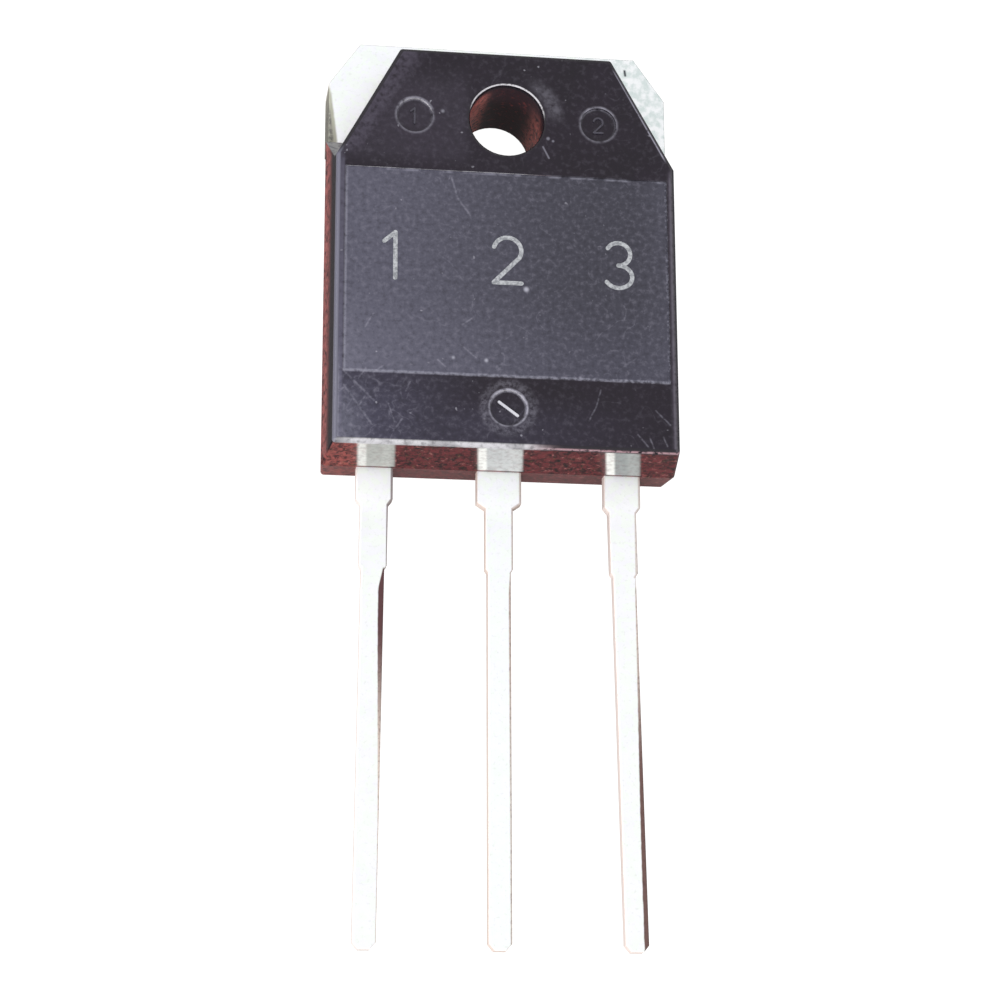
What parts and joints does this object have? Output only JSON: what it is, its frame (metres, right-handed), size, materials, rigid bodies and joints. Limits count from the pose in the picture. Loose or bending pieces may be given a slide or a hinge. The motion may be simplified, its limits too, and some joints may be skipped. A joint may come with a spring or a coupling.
{
  "type": "power transistor",
  "caption": "Flat moulded power transistor with a bare metal tab, an insulated screw hole and flat in-line leads, lying on its back.",
  "frame": {"origin": "on the screw hole's axis, in the plane of the header's back face", "axes": "+Z along the screw hole out of the front face, +Y towards the bare tab, the leads point to -Y, +X to the emitter lead"},
  "size_m": [0.0156, 0.0407, 0.0048],
  "materials": {
    "moulding_epoxy": "satin front with a matt marking panel, glossy dark red-brown sides",
    "plated_copper": "bright tin-nickel plating on copper",
    "tinned_lead": "bright tin plating",
    "silicon": "polished",
    "solder": "satin",
    "bond_wire": "bright"
  },
  "bodies": {
    "root": {"moulded_body": "moulding_epoxy", "collector_header": "plated_copper", "base_lead": "tinned_lead", "emitter_lead": "tinned_lead", "silicon_die": "silicon", "die_solder": "solder", "base_bond_wire": "bond_wire", "emitter_bond_wire_1": "bond_wire", "emitter_bond_wire_2": "bond_wire"}
  },
  "joints": []
}
